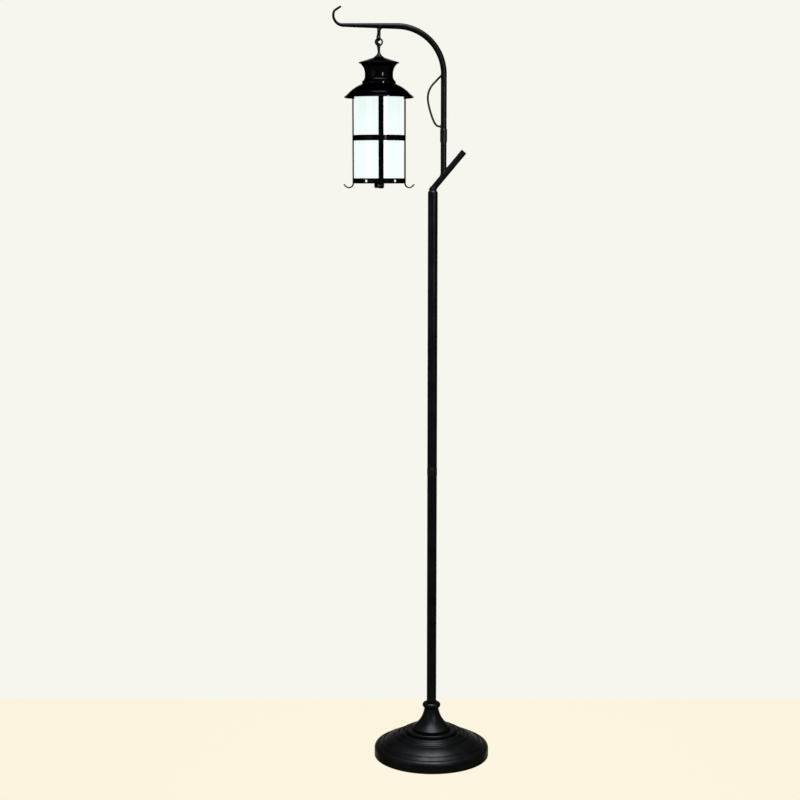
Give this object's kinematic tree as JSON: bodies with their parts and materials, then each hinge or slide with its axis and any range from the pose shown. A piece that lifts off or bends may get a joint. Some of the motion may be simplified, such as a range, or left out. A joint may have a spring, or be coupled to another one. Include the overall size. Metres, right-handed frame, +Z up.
{
  "type": "floor lamp",
  "caption": "Floor lamp with a domed weighted foot, a slim post, a gooseneck and forged hook arm, and a cylindrical glass lantern that swings on a ring under the arm.",
  "frame": {"origin": "centre of the foot, in the plane it stands on", "axes": "+Z up along the post; -X towards the side the lantern hangs on; -Y towards the front, from where the arm is seen side-on"},
  "size_m": [0.3322, 0.2498, 1.5991],
  "materials": {
    "black_enamel": "satin black enamel on steel",
    "wrought_black": "satin black on forged bar",
    "lantern_black": "glossy black enamel on spun sheet",
    "cast_iron": "as cast, unpainted",
    "plain_steel": "turned and zinc plated",
    "brass": "sprung contact",
    "black_rubber": "moulded",
    "black_plastic": "moulded, matt",
    "flex_sheath": "round flex with a smooth black sheath",
    "felt": "pressed black felt",
    "gasket": "white silicone ring",
    "bulb_glass": "frosted white",
    "opal_glass": "opal cylinder, lit from inside"
  },
  "bodies": {
    "lamp": {"base_pad": "felt", "base_weight": "cast_iron", "base_cover": "black_enamel", "base_spacer": "plain_steel", "base_washer": "plain_steel", "base_locknut": "plain_steel", "base_nipple": "plain_steel", "mains_grommet": "black_rubber", "base_bell": "black_enamel", "base_collar": "black_enamel", "post_foot_plug": "plain_steel", "post_lower": "black_enamel", "post_joint_band": "black_enamel", "post_coupler_lower": "plain_steel", "post_middle": "black_enamel", "post_coupler_upper": "plain_steel", "post_upper": "black_enamel", "post_neck": "black_enamel", "branch_stub": "black_enamel", "branch_cap": "black_enamel", "riser": "black_enamel", "riser_spigot": "plain_steel", "riser_ferrule": "black_enamel", "gooseneck": "black_enamel", "flex_grommet": "black_rubber", "arm_hook": "wrought_black", "hanger_staple": "wrought_black", "flex_saddles": "black_plastic", "inner_lead": "flex_sheath", "feed_flex": "flex_sheath", "flex_tail": "flex_sheath"},
    "ring": {"hanger_ring": "wrought_black"},
    "lantern": {"lantern_eye": "wrought_black", "lantern_lid": "lantern_black", "lantern_chimney": "lantern_black", "lantern_roof": "lantern_black", "lid_gland": "black_plastic", "hanging_rod": "plain_steel", "rod_nuts": "plain_steel", "spider_bar": "plain_steel", "lamp_lead": "flex_sheath", "holder_cap": "black_plastic", "holder_shell": "black_plastic", "holder_contact": "brass", "bulb_cap": "plain_steel", "bulb_globe": "bulb_glass", "top_band": "lantern_black", "mid_band": "lantern_black", "bottom_ring": "lantern_black", "strap_front": "lantern_black", "strap_right": "lantern_black", "strap_back": "lantern_black", "strap_left": "lantern_black", "glass_gasket": "gasket", "glass_shade": "opal_glass"}
  },
  "joints": [
    {"name": "ring_swing", "type": "hinge", "parent": "lamp", "child": "ring", "pos_m": [-0.112, 0, 1.5285], "axis": [0, 1, 0], "range_deg": [-8, 20], "deforming": ["flex_tail"]},
    {"name": "lantern_swing", "type": "hinge", "parent": "ring", "child": "lantern", "pos_m": [-0.112, 0, 1.5185], "axis": [1, 0, 0], "range_deg": [-15, 15], "deforming": ["flex_tail"]}
  ]
}
